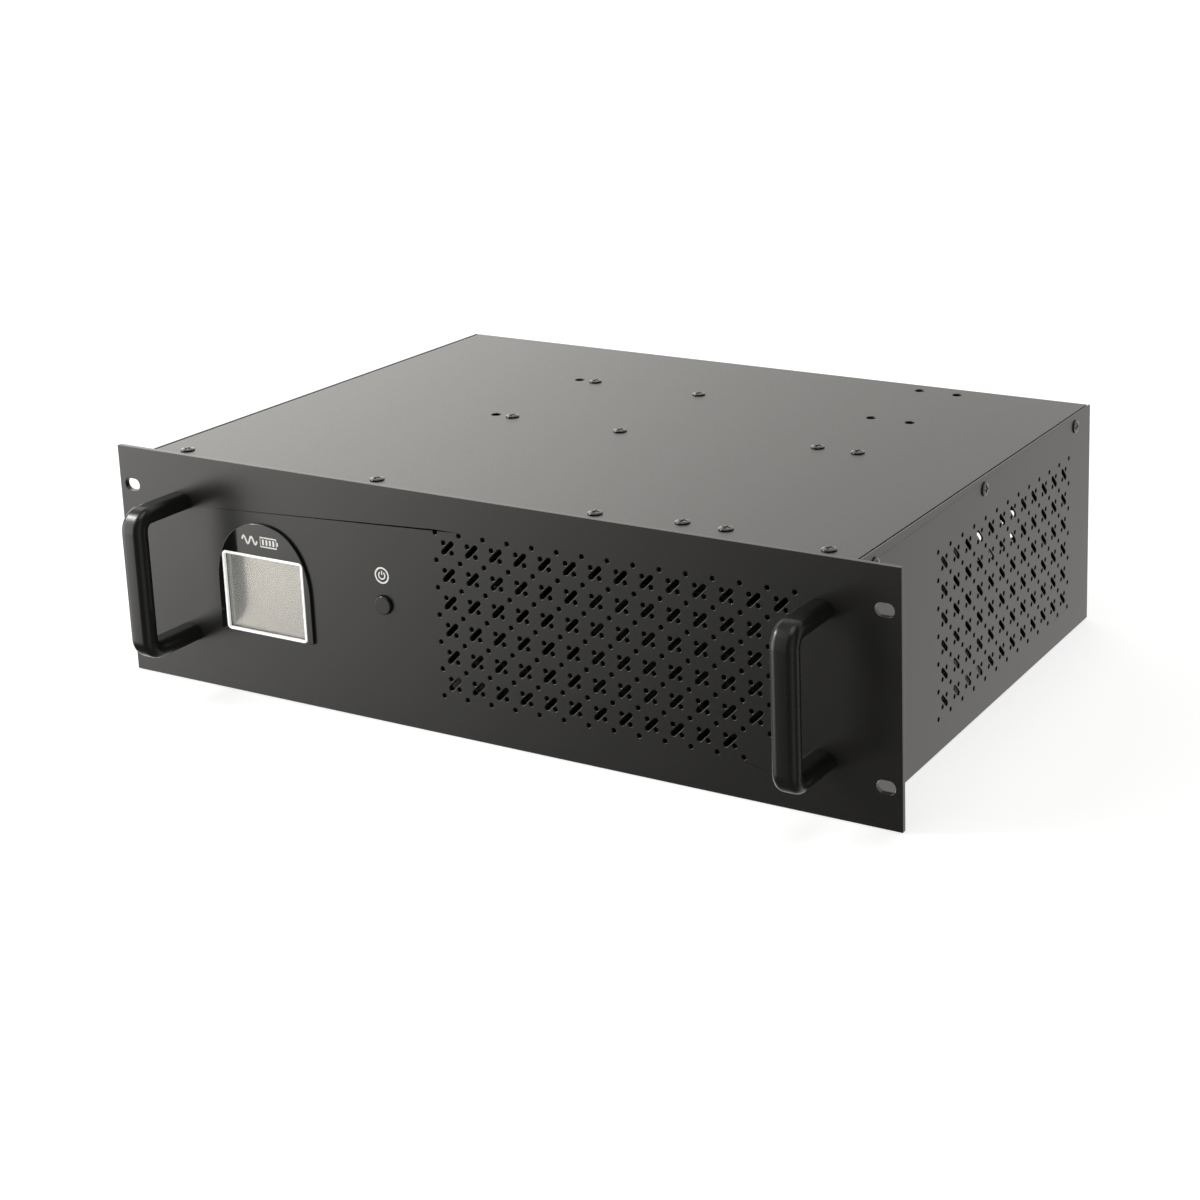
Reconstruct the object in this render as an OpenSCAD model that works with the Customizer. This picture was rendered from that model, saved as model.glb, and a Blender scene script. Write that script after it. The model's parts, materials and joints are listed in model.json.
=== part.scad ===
// Rack-mount uninterruptible power supply, three units high, for a 19-inch cabinet.
// Origin: centre of the four rack slots, on the rear face of the front panel.
// +X is to the right seen from the front, +Y runs to the back, +Z is up. Millimetres.

/* [Front panel] */
// Width over both rack ears
panel_w = 482.6; // [476:0.1:490]
// Panel height, three rack units less the gap
panel_h = 132.5; // [131.6:0.1:133.3]
// Panel plate thickness
panel_t = 3; // [2.5:0.1:4]
// Distance between the left and right slot centres
slot_spacing_x = 465.1; // [464:0.1:466]
// Distance between the upper and lower slot centres
slot_spacing_z = 88.9; // [88:0.1:90]
// Rack slot end-to-end length
slot_l = 10.3; // [8:0.1:12]
// Rack slot width
slot_w = 6.8; // [6.2:0.1:7.2]

/* [Case] */
// Case width
case_w = 438; // [436:1:446]
// Case depth behind the front panel
case_d = 300; // [300:1:304]
// Case height
case_h = 131.5; // [131.2:0.1:132]
// Sheet thickness of the case
sheet = 1.2; // [1:0.1:1.3]

/* [Vents] */
// Pitch of the vent lattice
vent_pitch = 15; // [14.6:0.1:15.1]
// Diameter of the small round vent holes
vent_dot_d = 2.6; // [1.8:0.1:3]
// Length of the slanted vent slot
vent_slot_l = 10.1; // [7:0.1:10.5]
// Width of the slanted vent slot
vent_slot_w = 2.8; // [1.8:0.1:3]

/* [Handles] */
// Distance from the middle of the panel to each handle
handle_x = 198.5; // [196:0.1:200]
// Overall handle height
handle_h = 86; // [84:1:92]
// Grip width
handle_w = 14.8; // [13:0.1:16.5]
// Grip thickness
handle_t = 9.5; // [9:0.1:11]
// Reach of the handle in front of the panel
handle_reach = 39.25; // [34:0.25:44]

/* [Power button] */
// Button diameter
button_d = 10.2; // [9:0.1:10.4]
// Button travel
button_travel = 1.5; // [0.5:0.1:1.6]

/* [Display] */
// Width of the arched bezel
bezel_w = 64; // [63.8:0.1:66]
// Height of the arched bezel
bezel_h = 63.8; // [63.4:0.1:68]
// Width over the window frame
window_w = 55.9; // [54:0.1:56]
// Height over the window frame
window_h = 45.5; // [44:0.1:45.8]

/* [Batteries] */
// Width of one battery
battery_w = 65; // [62:1:65]
// Length of one battery
battery_l = 151; // [140:1:151]
// Height of one battery without terminals
battery_h = 94; // [90:1:95]

/* [Hidden] */

$fn = 48;

// ---- Shared levels of the case ----
half_w = case_w / 2;
inner_x = half_w - sheet;
top_z = case_h / 2;
inner_top = top_z - sheet;
floor_z = -inner_top;
front_y = -panel_t;
rear_in_y = case_d - sheet;
seam = 0.8;
cut = 1;
touch = 0.05;

// ---- Colours ----
powder_black = [0.13, 0.13, 0.13];
satin_black = [0.07, 0.07, 0.07];
gloss_black = [0.03, 0.03, 0.03];
zinc = [0.72, 0.73, 0.74];
board_green = [0.10, 0.32, 0.16];
copper = [0.75, 0.42, 0.20];
battery_grey = [0.25, 0.26, 0.28];
red = [0.70, 0.08, 0.06];
white = [0.90, 0.90, 0.88];
component_black = [0.08, 0.08, 0.09];
pad_grey = [0.18, 0.18, 0.19];
wire_grey = [0.20, 0.20, 0.22];
shell_metal = [0.60, 0.61, 0.63];
ribbon_grey = [0.62, 0.62, 0.64];
cell_grey = [0.62, 0.66, 0.66];
sleeve_blue = [0.12, 0.14, 0.22];
core_grey = [0.35, 0.33, 0.30];
bare_aluminium = [0.75, 0.76, 0.78];
fuse_amber = [0.75, 0.70, 0.35];
brass = [0.78, 0.62, 0.30];
clear_grey = [0.75, 0.78, 0.80, 0.4];

// ---- Shared shapes ----

// Box between two corners.
module block(low, high) {
    translate(low) cube(high - low);
}

// Box with its centre in X and Z given, and its span in Y.
module block_y(x, z, w, h, y0, y1) {
    block([x - w / 2, y0, z - h / 2], [x + w / 2, y1, z + h / 2]);
}

// Round bar along +X, +Y or +Z from a start point.
module bar_x(p, d, len) {
    translate(p) rotate([0, 90, 0]) cylinder(d = d, h = len);
}
module bar_y(p, d, len) {
    translate(p) rotate([-90, 0, 0]) cylinder(d = d, h = len);
}
module bar_z(p, d, len) {
    translate(p) cylinder(d = d, h = len);
}

// Plate parallel to the front, from y0 to y0 + t; its drawing has X to the right and Z up.
module plate_xz(y0, t) {
    translate([0, y0 + t, 0]) rotate([90, 0, 0]) linear_extrude(t) children();
}

// Plate parallel to the sides, from x0 to x0 + t; its drawing has Y to the right and Z up.
module plate_yz(x0, t) {
    translate([x0, 0, 0]) rotate([90, 0, 90]) linear_extrude(t) children();
}

// Plate parallel to the floor, from z0 to z0 + t.
module plate_xy(z0, t) {
    translate([0, 0, z0]) linear_extrude(t) children();
}

// Rectangle between two corners.
module rect(low, high) {
    translate(low) square(high - low);
}

// Rectangle about a centre.
module rect_at(c, w, h) {
    translate(c) square([w, h], center = true);
}

// Screw along -Z with its seat at the origin: shallow round head with a cross recess, plain shank.
module pan_screw(head_d, head_h, shank_d, shank_l) {
    crown_r = 2 * head_d;
    recess_l = 0.55 * head_d;
    recess_w = 0.14 * head_d;
    recess_depth = 0.6 * head_h;
    difference() {
        intersection() {
            cylinder(d = head_d, h = head_h);
            translate([0, 0, head_h - crown_r]) sphere(crown_r);
        }
        for (turn = [0, 90]) {
            rotate(turn) block(
                [-recess_l / 2, -recess_w / 2, head_h - recess_depth],
                [recess_l / 2, recess_w / 2, head_h + cut]
            );
        }
    }
    translate([0, 0, -shank_l]) cylinder(d = shank_d, h = shank_l + head_h / 4);
}

// Points of a straight slot with round ends, drawn about the origin along X.
function slot_points(l, w, steps) = concat(
    [for (i = [0 : steps]) let (a = -90 + 180 * i / steps) [(l - w) / 2 + w / 2 * cos(a), w / 2 * sin(a)]],
    [for (i = [0 : steps]) let (a = 90 + 180 * i / steps) [(w - l) / 2 + w / 2 * cos(a), w / 2 * sin(a)]]
);

// Points of a rectangle with rounded corners about the origin.
function round_rect_points(w, h, r, steps) = [
    for (corner = [0 : 3], i = [0 : steps])
        let (a = 90 * corner + 90 * i / steps,
             sx = (corner == 0 || corner == 3) ? 1 : -1,
             sy = corner < 2 ? 1 : -1)
            [sx * (w / 2 - r) + r * cos(a), sy * (h / 2 - r) + r * sin(a)]
];

// ---- Cables: straight lengths and quarter bends between points on a square path ----
function unit(v) = v / norm(v);

module along(p, x_axis, y_axis, z_axis) {
    multmatrix([
        [x_axis[0], y_axis[0], z_axis[0], p[0]],
        [x_axis[1], y_axis[1], z_axis[1], p[1]],
        [x_axis[2], y_axis[2], z_axis[2], p[2]],
        [0, 0, 0, 1]
    ]) children();
}

module cable(points, d, bend_r) {
    last = len(points) - 1;
    for (i = [0 : last - 1]) {
        u = unit(points[i + 1] - points[i]);
        side = [u[1], u[2], u[0]];
        start = points[i] + (i == 0 ? 0 : bend_r) * u;
        end = points[i + 1] - (i == last - 1 ? 0 : bend_r) * u;
        along(start, side, cross(u, side), u) cylinder(d = d, h = norm(end - start));
    }
    for (i = [1 : last - 1]) {
        u = unit(points[i] - points[i - 1]);
        v = unit(points[i + 1] - points[i]);
        along(points[i] - bend_r * u + bend_r * v, -v, u, cross(u, v))
            rotate_extrude(angle = 90) translate([bend_r, 0]) circle(d = d);
    }
}

// ---- Vent lattice: round holes at the lattice points, a slanted slot with two holes in each cell ----
dot_offset = vent_pitch / 6;

// slant is 1 for a slot that rises to the right and -1 for one that falls.
// The last cells and holes of the bottom row are left out where bottom_cells is smaller than cols.
module vent_field(x0, z0, cols, rows, slant, bottom_cells) {
    for (i = [0 : cols], j = [0 : rows]) {
        if (j > 0 || i <= bottom_cells) {
            translate([x0 + i * vent_pitch, z0 + j * vent_pitch]) circle(d = vent_dot_d);
        }
    }
    for (i = [0 : cols - 1], j = [0 : rows - 1]) {
        if (j > 0 || i < bottom_cells) {
            translate([x0 + (i + 0.5) * vent_pitch, z0 + (j + 0.5) * vent_pitch]) {
                rotate(45 * slant) polygon(slot_points(vent_slot_l, vent_slot_w, 5));
                for (s = [-1, 1]) {
                    translate([-s * slant * dot_offset, s * dot_offset]) circle(d = vent_dot_d);
                }
            }
        }
    }
}

// ---- Front panel ----
front_vent_x = -24.5;
front_vent_z = -44.25;
front_vent_cols = 14;
front_vent_rows = 6;
front_vent_bottom_cells = 12;
handle_z = 1.2;
handle_leg_z = (handle_h - handle_t) / 2;
handle_hole_d = 5.5;
button_x = -60.5;
button_z = 0.6;
button_hole_d = button_d + 0.4;
window_x = -141.5;
window_bottom = -29.7;
window_z = window_bottom + window_h / 2;
frame_line = 1.4;
frame_corner_r = 2.5;
frame_corner_steps = 5;
cutout_w = window_w - 2 * frame_line + 0.2;
cutout_h = window_h - 2 * frame_line + 0.2;
frame_screw_x = [70, 211.8];
frame_screw_z = [59.9, 30];
frame_screws = [
    for (sx = [-1, 1], sz = [-1, 1]) [sx * frame_screw_x[0], sz * frame_screw_z[0]],
    for (sx = [-1, 1], sz = [-1, 1]) [sx * frame_screw_x[1], sz * frame_screw_z[1]]
];
m3_shank_d = 2.95;
m3_tap_d = 3.05;
m3_clear_d = 3.4;
m3_head_d = 5.6;
m3_head_h = 2;
panel_tap_depth = 2.2;

// One rack slot, long side across.
module rack_slot() {
    square([slot_l - slot_w, slot_w], center = true);
    for (s = [-1, 1]) {
        translate([s * (slot_l - slot_w) / 2, 0]) circle(d = slot_w);
    }
}

module front_panel() {
    color(powder_black) difference() {
        plate_xz(front_y, panel_t) difference() {
            square([panel_w, panel_h], center = true);
            for (sx = [-1, 1], sz = [-1, 1]) {
                translate([sx * slot_spacing_x / 2, sz * slot_spacing_z / 2]) rack_slot();
            }
            for (sx = [-1, 1], sz = [-1, 1]) {
                translate([sx * handle_x, handle_z + sz * handle_leg_z]) circle(d = handle_hole_d);
            }
            rect_at([window_x, window_z], cutout_w, cutout_h);
            translate([button_x, button_z]) circle(d = button_hole_d);
            vent_field(
                front_vent_x, front_vent_z, front_vent_cols, front_vent_rows, 1, front_vent_bottom_cells
            );
        }
        for (s = frame_screws) {
            bar_y([s[0], -panel_tap_depth, s[1]], m3_tap_d, panel_tap_depth + cut);
        }
    }
}

// ---- Handles ----
handle_bend_r = 7.75;
handle_bar_y = front_y - handle_reach + handle_t / 2;
handle_corner_r = handle_t / 2 - 0.1;
handle_tap_d = 5.1;
handle_tap_depth = 18;

// Grip section: its first axis runs out of the bend, its second across the grip.
module handle_section() {
    polygon(round_rect_points(handle_t, handle_w, handle_corner_r, 5));
}

module handle(x) {
    leg_l = front_y - handle_bar_y - handle_bend_r;
    bar_half = handle_leg_z - handle_bend_r;
    color(satin_black) translate([x, 0, handle_z]) difference() {
        union() {
            translate([0, handle_bar_y, -bar_half])
                linear_extrude(2 * bar_half) rotate(90) handle_section();
            for (s = [-1, 1]) {
                translate([0, front_y, s * handle_leg_z])
                    rotate([90, 0, 0]) linear_extrude(leg_l) rotate(90) handle_section();
                mirror([0, 0, s < 0 ? 1 : 0])
                    translate([0, front_y - leg_l, bar_half])
                        rotate([90, 0, -90])
                            rotate_extrude(angle = 90) translate([handle_bend_r, 0]) handle_section();
            }
        }
        for (s = [-1, 1]) {
            bar_y([0, front_y - handle_tap_depth, s * handle_leg_z], handle_tap_d, handle_tap_depth + cut);
        }
    }
}

module left_handle() {
    handle(-handle_x);
}

module right_handle() {
    handle(handle_x);
}

handle_screw_d = 5;
handle_screw_in = 15;
handle_screw_head = [9, 3.2];

module handle_screws() {
    color(zinc) for (sx = [-1, 1], sz = [-1, 1]) {
        translate([sx * handle_x, 0, handle_z + sz * handle_leg_z])
            rotate([-90, 0, 0]) pan_screw(
                handle_screw_head[0], handle_screw_head[1], handle_screw_d, panel_t + handle_screw_in
            );
    }
}

// ---- Display ----
bezel_t = 1.5;
bezel_shoulder = 25;
bezel_power = 2.2;
bezel_steps = 32;
frame_proud = 0.2;
window_recess = 1.9;
window_t = 0.8;
window_gap = 0.1;
window_y = front_y - bezel_t - frame_proud + window_recess;
board_y = 9;
board_t = 1.6;

// Arch: a superellipse over straight sides.
function arch_points() = concat(
    [[bezel_w / 2, 0]],
    [for (i = [0 : bezel_steps]) let (a = 180 * i / bezel_steps, c = cos(a), s = sin(a)) [
        sign(c) * bezel_w / 2 * pow(abs(c), 2 / bezel_power),
        bezel_shoulder + (bezel_h - bezel_shoulder) * pow(abs(s), 2 / bezel_power)
    ]],
    [[-bezel_w / 2, 0]]
);

// Outer edge of the window frame about its centre.
module frame_outline() {
    polygon(round_rect_points(window_w, window_h, frame_corner_r, frame_corner_steps));
}

module display_bezel() {
    color(gloss_black) plate_xz(front_y - bezel_t, bezel_t) difference() {
        translate([window_x, window_bottom]) polygon(arch_points());
        translate([window_x, window_z]) frame_outline();
        rect([window_x - window_w / 2, window_bottom - cut], [window_x + window_w / 2, window_z]);
    }
}

module window_frame() {
    color(white) plate_xz(front_y - bezel_t - frame_proud, bezel_t + frame_proud) difference() {
        translate([window_x, window_z]) frame_outline();
        rect_at([window_x, window_z], window_w - 2 * frame_line, window_h - 2 * frame_line);
    }
}

module display_window() {
    color(clear_grey) block_y(
        window_x, window_z, cutout_w - 2 * window_gap, cutout_h - 2 * window_gap,
        window_y, window_y + window_t
    );
}

tray_y = 4;
tray_step = 3;

// Glass cell in a backlight tray that stands on the display board.
module lcd_module() {
    tray_w = cutout_w - 2 * window_gap;
    tray_h = cutout_h - 2 * window_gap;
    color(cell_grey) {
        block_y(window_x, window_z, tray_w, tray_h, window_y + window_t, tray_y);
        block_y(window_x, window_z, tray_w - tray_step, tray_h - tray_step, tray_y, board_y);
    }
}

display_board_x = [-180, -48];
display_board_z = [-36, 38];
post_inset = [5, 4];
display_posts = [
    for (x = [display_board_x[0] + post_inset[0], display_board_x[1] - post_inset[0]],
         z = [display_board_z[0] + post_inset[1], display_board_z[1] - post_inset[1]])
        [x, z]
];
// Place, width, height and thickness of each chip on the back of the display board.
display_chips = [
    [[-92, 14], 12, 12, 1.5],
    [[-92, -14], 16, 6, 2.5],
    [[-170, -26], 9, 6, 3]
];

module display_board() {
    board_back = board_y + board_t;
    color(board_green) plate_xz(board_y, board_t) difference() {
        rect([display_board_x[0], display_board_z[0]], [display_board_x[1], display_board_z[1]]);
        for (p = display_posts) {
            translate(p) circle(d = m3_clear_d);
        }
    }
    color(component_black) for (c = display_chips) {
        block_y(c[0][0], c[0][1], c[1], c[2], board_back, board_back + c[3]);
    }
}

// ---- Power button and its switch ----
button_proud = 1.8;
button_flange_d = 13;
button_flange_t = 1.2;
stem_d = 3.1;
stem_end_y = 7;
switch_size = 12;
switch_bore_d = 3.2;
switch_front_y = 5.5;
switch_floor_y = stem_end_y + button_travel + 0.3;

module power_button() {
    color(satin_black) translate([button_x, 0, button_z]) {
        bar_y([0, front_y - button_proud, 0], button_d, panel_t + button_proud);
        bar_y([0, 0, 0], button_flange_d, button_flange_t);
        bar_y([0, 0, 0], stem_d, stem_end_y);
    }
}

module button_switch() {
    color(component_black) difference() {
        block_y(button_x, button_z, switch_size, switch_size, switch_front_y, board_y);
        bar_y(
            [button_x, switch_front_y - cut, button_z],
            switch_bore_d, switch_floor_y - switch_front_y + cut
        );
    }
}

// ---- Front frame behind the panel ----
frame_flange = 14;
frame_open_x = 207;
frame_open_z = 55.5;
frame_flange_x = 214;
frame_side_z = 49;
m4_shank_d = 3.9;
m4_tap_d = 4;
m4_clear_d = 4.3;
bracket_x = 127.25;
bracket_w = 39.5;
bracket_notch = 1.5;
front_row_y = 7;
front_row_x = [-199, -68, 68, 199];

module front_frame() {
    color(zinc) difference() {
        union() {
            plate_xz(0, sheet) difference() {
                square([2 * inner_x, 2 * inner_top], center = true);
                square([2 * frame_open_x, 2 * frame_open_z], center = true);
                for (s = frame_screws) {
                    translate(s) circle(d = m3_clear_d);
                }
            }
            for (s = [-1, 1]) {
                block(
                    [-frame_flange_x, 0, s > 0 ? inner_top - sheet : floor_z],
                    [frame_flange_x, frame_flange, s > 0 ? inner_top : floor_z + sheet]
                );
                block(
                    [s > 0 ? inner_x - sheet : -inner_x, 0, -frame_side_z],
                    [s > 0 ? inner_x : sheet - inner_x, frame_flange, frame_side_z]
                );
            }
        }
        block(
            [bracket_x - bracket_w / 2 - bracket_notch, sheet, inner_top - sheet - cut],
            [bracket_x + bracket_w / 2 + bracket_notch, frame_flange + cut, inner_top + cut]
        );
        for (x = front_row_x) {
            bar_z([x, front_row_y, inner_top - sheet - cut], m4_tap_d, sheet + 2 * cut);
        }
    }
}

// ---- Top cover ----
cover_flange_h = 13.5;
cover_flange_y = [2, 296];
cover_rear_x = 204;
side_screw_y = [15, 145, 276];
side_screw_z = 58.75;
battery_screw_x = [115, 139.5];
bracket_screw_y = [13, 156];
brace_screw_x = [-75, -1.5];
brace_screw_y = [138.5, 225.5];
spare_battery_y = [222, 288];
spare_brace_x = -86.5;
top_screw_points = concat(
    [for (x = front_row_x) [x, front_row_y]],
    [for (x = battery_screw_x, y = bracket_screw_y) [x, y]],
    [for (x = brace_screw_x, y = brace_screw_y) [x, y]]
);
spare_hole_d = 5.6;
spare_points = concat(
    [for (x = battery_screw_x, y = spare_battery_y) [x, y]],
    [for (y = brace_screw_y) [spare_brace_x, y]]
);
rear_screw_top_x = 120;
rear_screw_top_z = 58.5;
rear_screw_side = [212, 40];
rear_screw_low_x = -80;
rear_screw_low_z = -59.5;

module top_cover() {
    flange_out = inner_x - seam;
    color(powder_black) difference() {
        union() {
            plate_xy(inner_top, sheet) difference() {
                rect([-flange_out, 0], [flange_out, case_d]);
                for (p = top_screw_points) {
                    translate(p) circle(d = m4_clear_d);
                }
                for (p = spare_points) {
                    translate(p) circle(d = spare_hole_d);
                }
            }
            for (s = [-1, 1]) {
                block(
                    [s > 0 ? flange_out - sheet : -flange_out, cover_flange_y[0], inner_top - cover_flange_h],
                    [s > 0 ? flange_out : sheet - flange_out, cover_flange_y[1], inner_top]
                );
            }
            block(
                [-cover_rear_x, rear_in_y - sheet, inner_top - cover_flange_h],
                [cover_rear_x, rear_in_y, inner_top]
            );
        }
        for (y = side_screw_y) {
            bar_x([-half_w, y, side_screw_z], m4_tap_d, case_w);
        }
        for (s = [-1, 1]) {
            bar_y([s * rear_screw_top_x, rear_in_y - sheet - cut, rear_screw_top_z],
                m3_tap_d, sheet + 2 * cut);
        }
    }
}

// ---- Base pan with studs for the transformer feet ----
base_flange_top = -52;
base_rear_top = -55;
base_rear_x = [-95, 204];
transformer_x = -38;
transformer_y = 180;
foot_stud_x = 48;
foot_stud_y = 49;
stud_h = 8;

module base_pan() {
    color(zinc) difference() {
        union() {
            block([-inner_x, 0, -top_z], [inner_x, rear_in_y, floor_z]);
            for (s = [-1, 1]) {
                block(
                    [s > 0 ? inner_x - sheet : -inner_x, frame_flange + 2, floor_z],
                    [s > 0 ? inner_x : sheet - inner_x, rear_in_y - 2, base_flange_top]
                );
            }
            block([base_rear_x[0], rear_in_y - sheet, floor_z], [base_rear_x[1], rear_in_y, base_rear_top]);
            for (sx = [-1, 1], sy = [-1, 1]) {
                translate([transformer_x + sx * foot_stud_x, transformer_y + sy * foot_stud_y, floor_z])
                    bar_z([0, 0, -sheet / 2], m4_shank_d, stud_h + sheet / 2);
            }
        }
        for (x = [rear_screw_low_x, rear_screw_top_x]) {
            bar_y([x, rear_in_y - sheet - cut, rear_screw_low_z], m3_tap_d, sheet + 2 * cut);
        }
    }
}

// ---- Side panels ----
side_vent_y = 86.6;
side_vent_z = -47.75;
side_vent_cols = 12;
side_vent_rows = 6;
side_flange_x = 207;
side_flange_z = 49;

module side_panel() {
    difference() {
        union() {
            plate_yz(inner_x, sheet) difference() {
                rect([0, -top_z], [case_d, top_z]);
                for (y = side_screw_y) {
                    translate([y, side_screw_z]) circle(d = m4_clear_d);
                }
                vent_field(side_vent_y, side_vent_z, side_vent_cols, side_vent_rows, -1, side_vent_cols);
            }
            block([side_flange_x, rear_in_y - sheet, -side_flange_z], [inner_x, rear_in_y, side_flange_z]);
        }
        for (s = [-1, 1]) {
            bar_y([rear_screw_side[0], rear_in_y - sheet - cut, s * rear_screw_side[1]],
                m3_tap_d, sheet + 2 * cut);
        }
    }
}

module right_side_panel() {
    color(powder_black) side_panel();
}

module left_side_panel() {
    color(powder_black) mirror([1, 0, 0]) side_panel();
}

// ---- Rear panel ----
fan_x = 150;
fan_z = 6;
fan_size = 80;
fan_bore_d = 76;
fan_hole_pitch = 71.5;
fan_depth = 25;
outlet_x = [-16, 18, 52, 86];
outlet_z = [-12, 27];
inlet_x = -66;
inlet_z = 27;
socket_w = 27;
socket_h = 20;
socket_gap = 0.2;
breaker_x = -66;
breaker_z = -12;
breaker_thread_d = 11.7;
ground_x = -66;
ground_z = -42;
m5_d = 5;
port_board_top = -53.95;
jack_x = [-192, -173];
jack_w = 16;
jack_h = 13.5;
usb_x = -153;
usb_w = 12;
usb_h = 11;
serial_x = -124;
serial_w = 31;
serial_h = 12.5;
rear_screw_points = concat(
    [for (s = [-1, 1]) [s * rear_screw_top_x, rear_screw_top_z]],
    [for (sx = [-1, 1], sz = [-1, 1]) [sx * rear_screw_side[0], sz * rear_screw_side[1]]],
    [[rear_screw_low_x, rear_screw_low_z], [rear_screw_top_x, rear_screw_low_z]]
);
fan_screw_points = [
    for (sx = [-1, 1], sz = [-1, 1]) [fan_x + sx * fan_hole_pitch / 2, fan_z + sz * fan_hole_pitch / 2]
];

// Opening with a little room all round for a socket or jack of the given size.
module socket_opening(c, w, h) {
    rect_at(c, w + 2 * socket_gap, h + 2 * socket_gap);
}

module rear_panel() {
    side = inner_x - seam;
    color(powder_black) plate_xz(rear_in_y, sheet) difference() {
        rect([-side, -top_z], [side, inner_top - touch]);
        for (p = rear_screw_points) {
            translate(p) circle(d = m3_clear_d);
        }
        translate([fan_x, fan_z]) circle(d = fan_bore_d);
        for (p = fan_screw_points) {
            translate(p) circle(d = m4_clear_d);
        }
        for (x = outlet_x, z = outlet_z) {
            socket_opening([x, z], socket_w, socket_h);
        }
        socket_opening([inlet_x, inlet_z], socket_w, socket_h);
        translate([breaker_x, breaker_z]) circle(d = breaker_thread_d + 2 * socket_gap);
        translate([ground_x, ground_z]) circle(d = m5_d + 2 * socket_gap);
        for (x = jack_x) {
            socket_opening([x, port_board_top + jack_h / 2], jack_w, jack_h);
        }
        socket_opening([usb_x, port_board_top + usb_h / 2], usb_w, usb_h);
        socket_opening([serial_x, port_board_top + serial_h / 2], serial_w, serial_h);
    }
}

// ---- Case screws ----
m4_head_d = 7.8;
m4_head_h = 1.2;
m4_len = 7;
small_screw_l = 6;

module top_screws() {
    color(zinc) for (p = top_screw_points) {
        translate([p[0], p[1], top_z]) pan_screw(m4_head_d, m4_head_h, m4_shank_d, m4_len);
    }
}

module side_screws() {
    color(zinc) for (y = side_screw_y, s = [-1, 1]) {
        translate([s * half_w, y, side_screw_z]) rotate([0, s * 90, 0])
            pan_screw(m4_head_d, m4_head_h, m4_shank_d, m4_len);
    }
}

module rear_screws() {
    color(zinc) for (p = rear_screw_points) {
        translate([p[0], case_d, p[1]]) rotate([-90, 0, 0])
            pan_screw(m3_head_d, m3_head_h, m3_shank_d, small_screw_l);
    }
}

// ---- Small screws and standoffs, shared by the front frame and both boards ----
main_board_x = [-208, -106];
main_board_y = [40, 296];
standoff_h = board_y;
standoff_d = 6;
board_top = floor_z + standoff_h + board_t;
main_posts = [
    for (x = [main_board_x[0] + 5, main_board_x[1] - 5], y = [main_board_y[0] + 5, 162, main_board_y[1] - 34])
        [x, y]
];

module small_screws() {
    color(zinc) {
        for (s = frame_screws) {
            translate([s[0], sheet, s[1]]) rotate([-90, 0, 0])
                pan_screw(m3_head_d, m3_head_h, m3_shank_d, sheet + panel_tap_depth - 0.2);
        }
        for (p = display_posts) {
            translate([p[0], board_y + board_t, p[1]]) rotate([-90, 0, 0])
                pan_screw(m3_head_d, m3_head_h, m3_shank_d, small_screw_l);
        }
        for (p = main_posts) {
            translate([p[0], p[1], board_top]) pan_screw(m3_head_d, m3_head_h, m3_shank_d, small_screw_l);
        }
    }
}

module standoffs() {
    color(zinc) {
        for (p = display_posts) {
            difference() {
                bar_y([p[0], 0, p[1]], standoff_d, standoff_h);
                bar_y([p[0], cut, p[1]], m3_tap_d, standoff_h);
            }
        }
        for (p = main_posts) {
            difference() {
                bar_z([p[0], p[1], floor_z], standoff_d, standoff_h);
                bar_z([p[0], p[1], floor_z + cut], m3_tap_d, standoff_h);
            }
        }
    }
}

// ---- Batteries, brackets, rails, pads ----
pad_t = 2;
battery_gap = 2;
battery_y0 = 9;
battery_z0 = floor_z + pad_t;
battery_left_x = bracket_x - battery_gap / 2 - battery_w;
battery_right_x = bracket_x + battery_gap / 2;
battery_lid_h = 7;
battery_lid_inset = 0.6;
battery_top = battery_z0 + battery_h;
terminal_inset = 10;
terminal_y = battery_y0 + battery_l - 12;
terminal_w = 6.35;
terminal_t = 0.8;
terminal_h = 7.5;
terminal_x = [
    battery_left_x + terminal_inset, battery_left_x + battery_w - terminal_inset,
    battery_right_x + terminal_inset, battery_right_x + battery_w - terminal_inset
];
bracket_leg_y = [5, 163];
bracket_t = 1.5;
bracket_flange = 16;
bracket_leg_bottom = -17;

module battery(x0) {
    inset = battery_lid_inset;
    lid_z = battery_top - battery_lid_h;
    color(battery_grey) {
        block([x0, battery_y0, battery_z0], [x0 + battery_w, battery_y0 + battery_l, lid_z]);
        block(
            [x0 + inset, battery_y0 + inset, lid_z],
            [x0 + battery_w - inset, battery_y0 + battery_l - inset, battery_top]
        );
    }
}

module battery_left() {
    battery(battery_left_x);
}

module battery_right() {
    battery(battery_right_x);
}

module battery_terminals() {
    color(zinc) for (x = terminal_x) {
        block(
            [x - terminal_w / 2, terminal_y - terminal_t / 2, battery_top],
            [x + terminal_w / 2, terminal_y + terminal_t / 2, battery_top + terminal_h]
        );
    }
}

// Angle that hangs from the cover and stops the batteries; the flange turns towards them.
module battery_bracket(leg_y, flange_low, flange_high, screw_y) {
    color(zinc) difference() {
        union() {
            block(
                [bracket_x - bracket_w / 2, leg_y, bracket_leg_bottom],
                [bracket_x + bracket_w / 2, leg_y + bracket_t, inner_top]
            );
            block(
                [bracket_x - bracket_w / 2, flange_low, inner_top - sheet],
                [bracket_x + bracket_w / 2, flange_high, inner_top]
            );
        }
        for (x = battery_screw_x) {
            bar_z([x, screw_y, inner_top - sheet - cut], m4_tap_d, sheet + 2 * cut);
        }
    }
}

module front_bracket() {
    leg = bracket_leg_y[0];
    battery_bracket(leg, leg, leg + bracket_flange, bracket_screw_y[0]);
}

module rear_bracket() {
    leg = bracket_leg_y[1];
    battery_bracket(leg, leg + bracket_t - bracket_flange, leg + bracket_t, bracket_screw_y[1]);
}

rail_h = 16;
rail_foot = 10;
rail_y = [20, 150];
rail_gap = 0.3;

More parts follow.
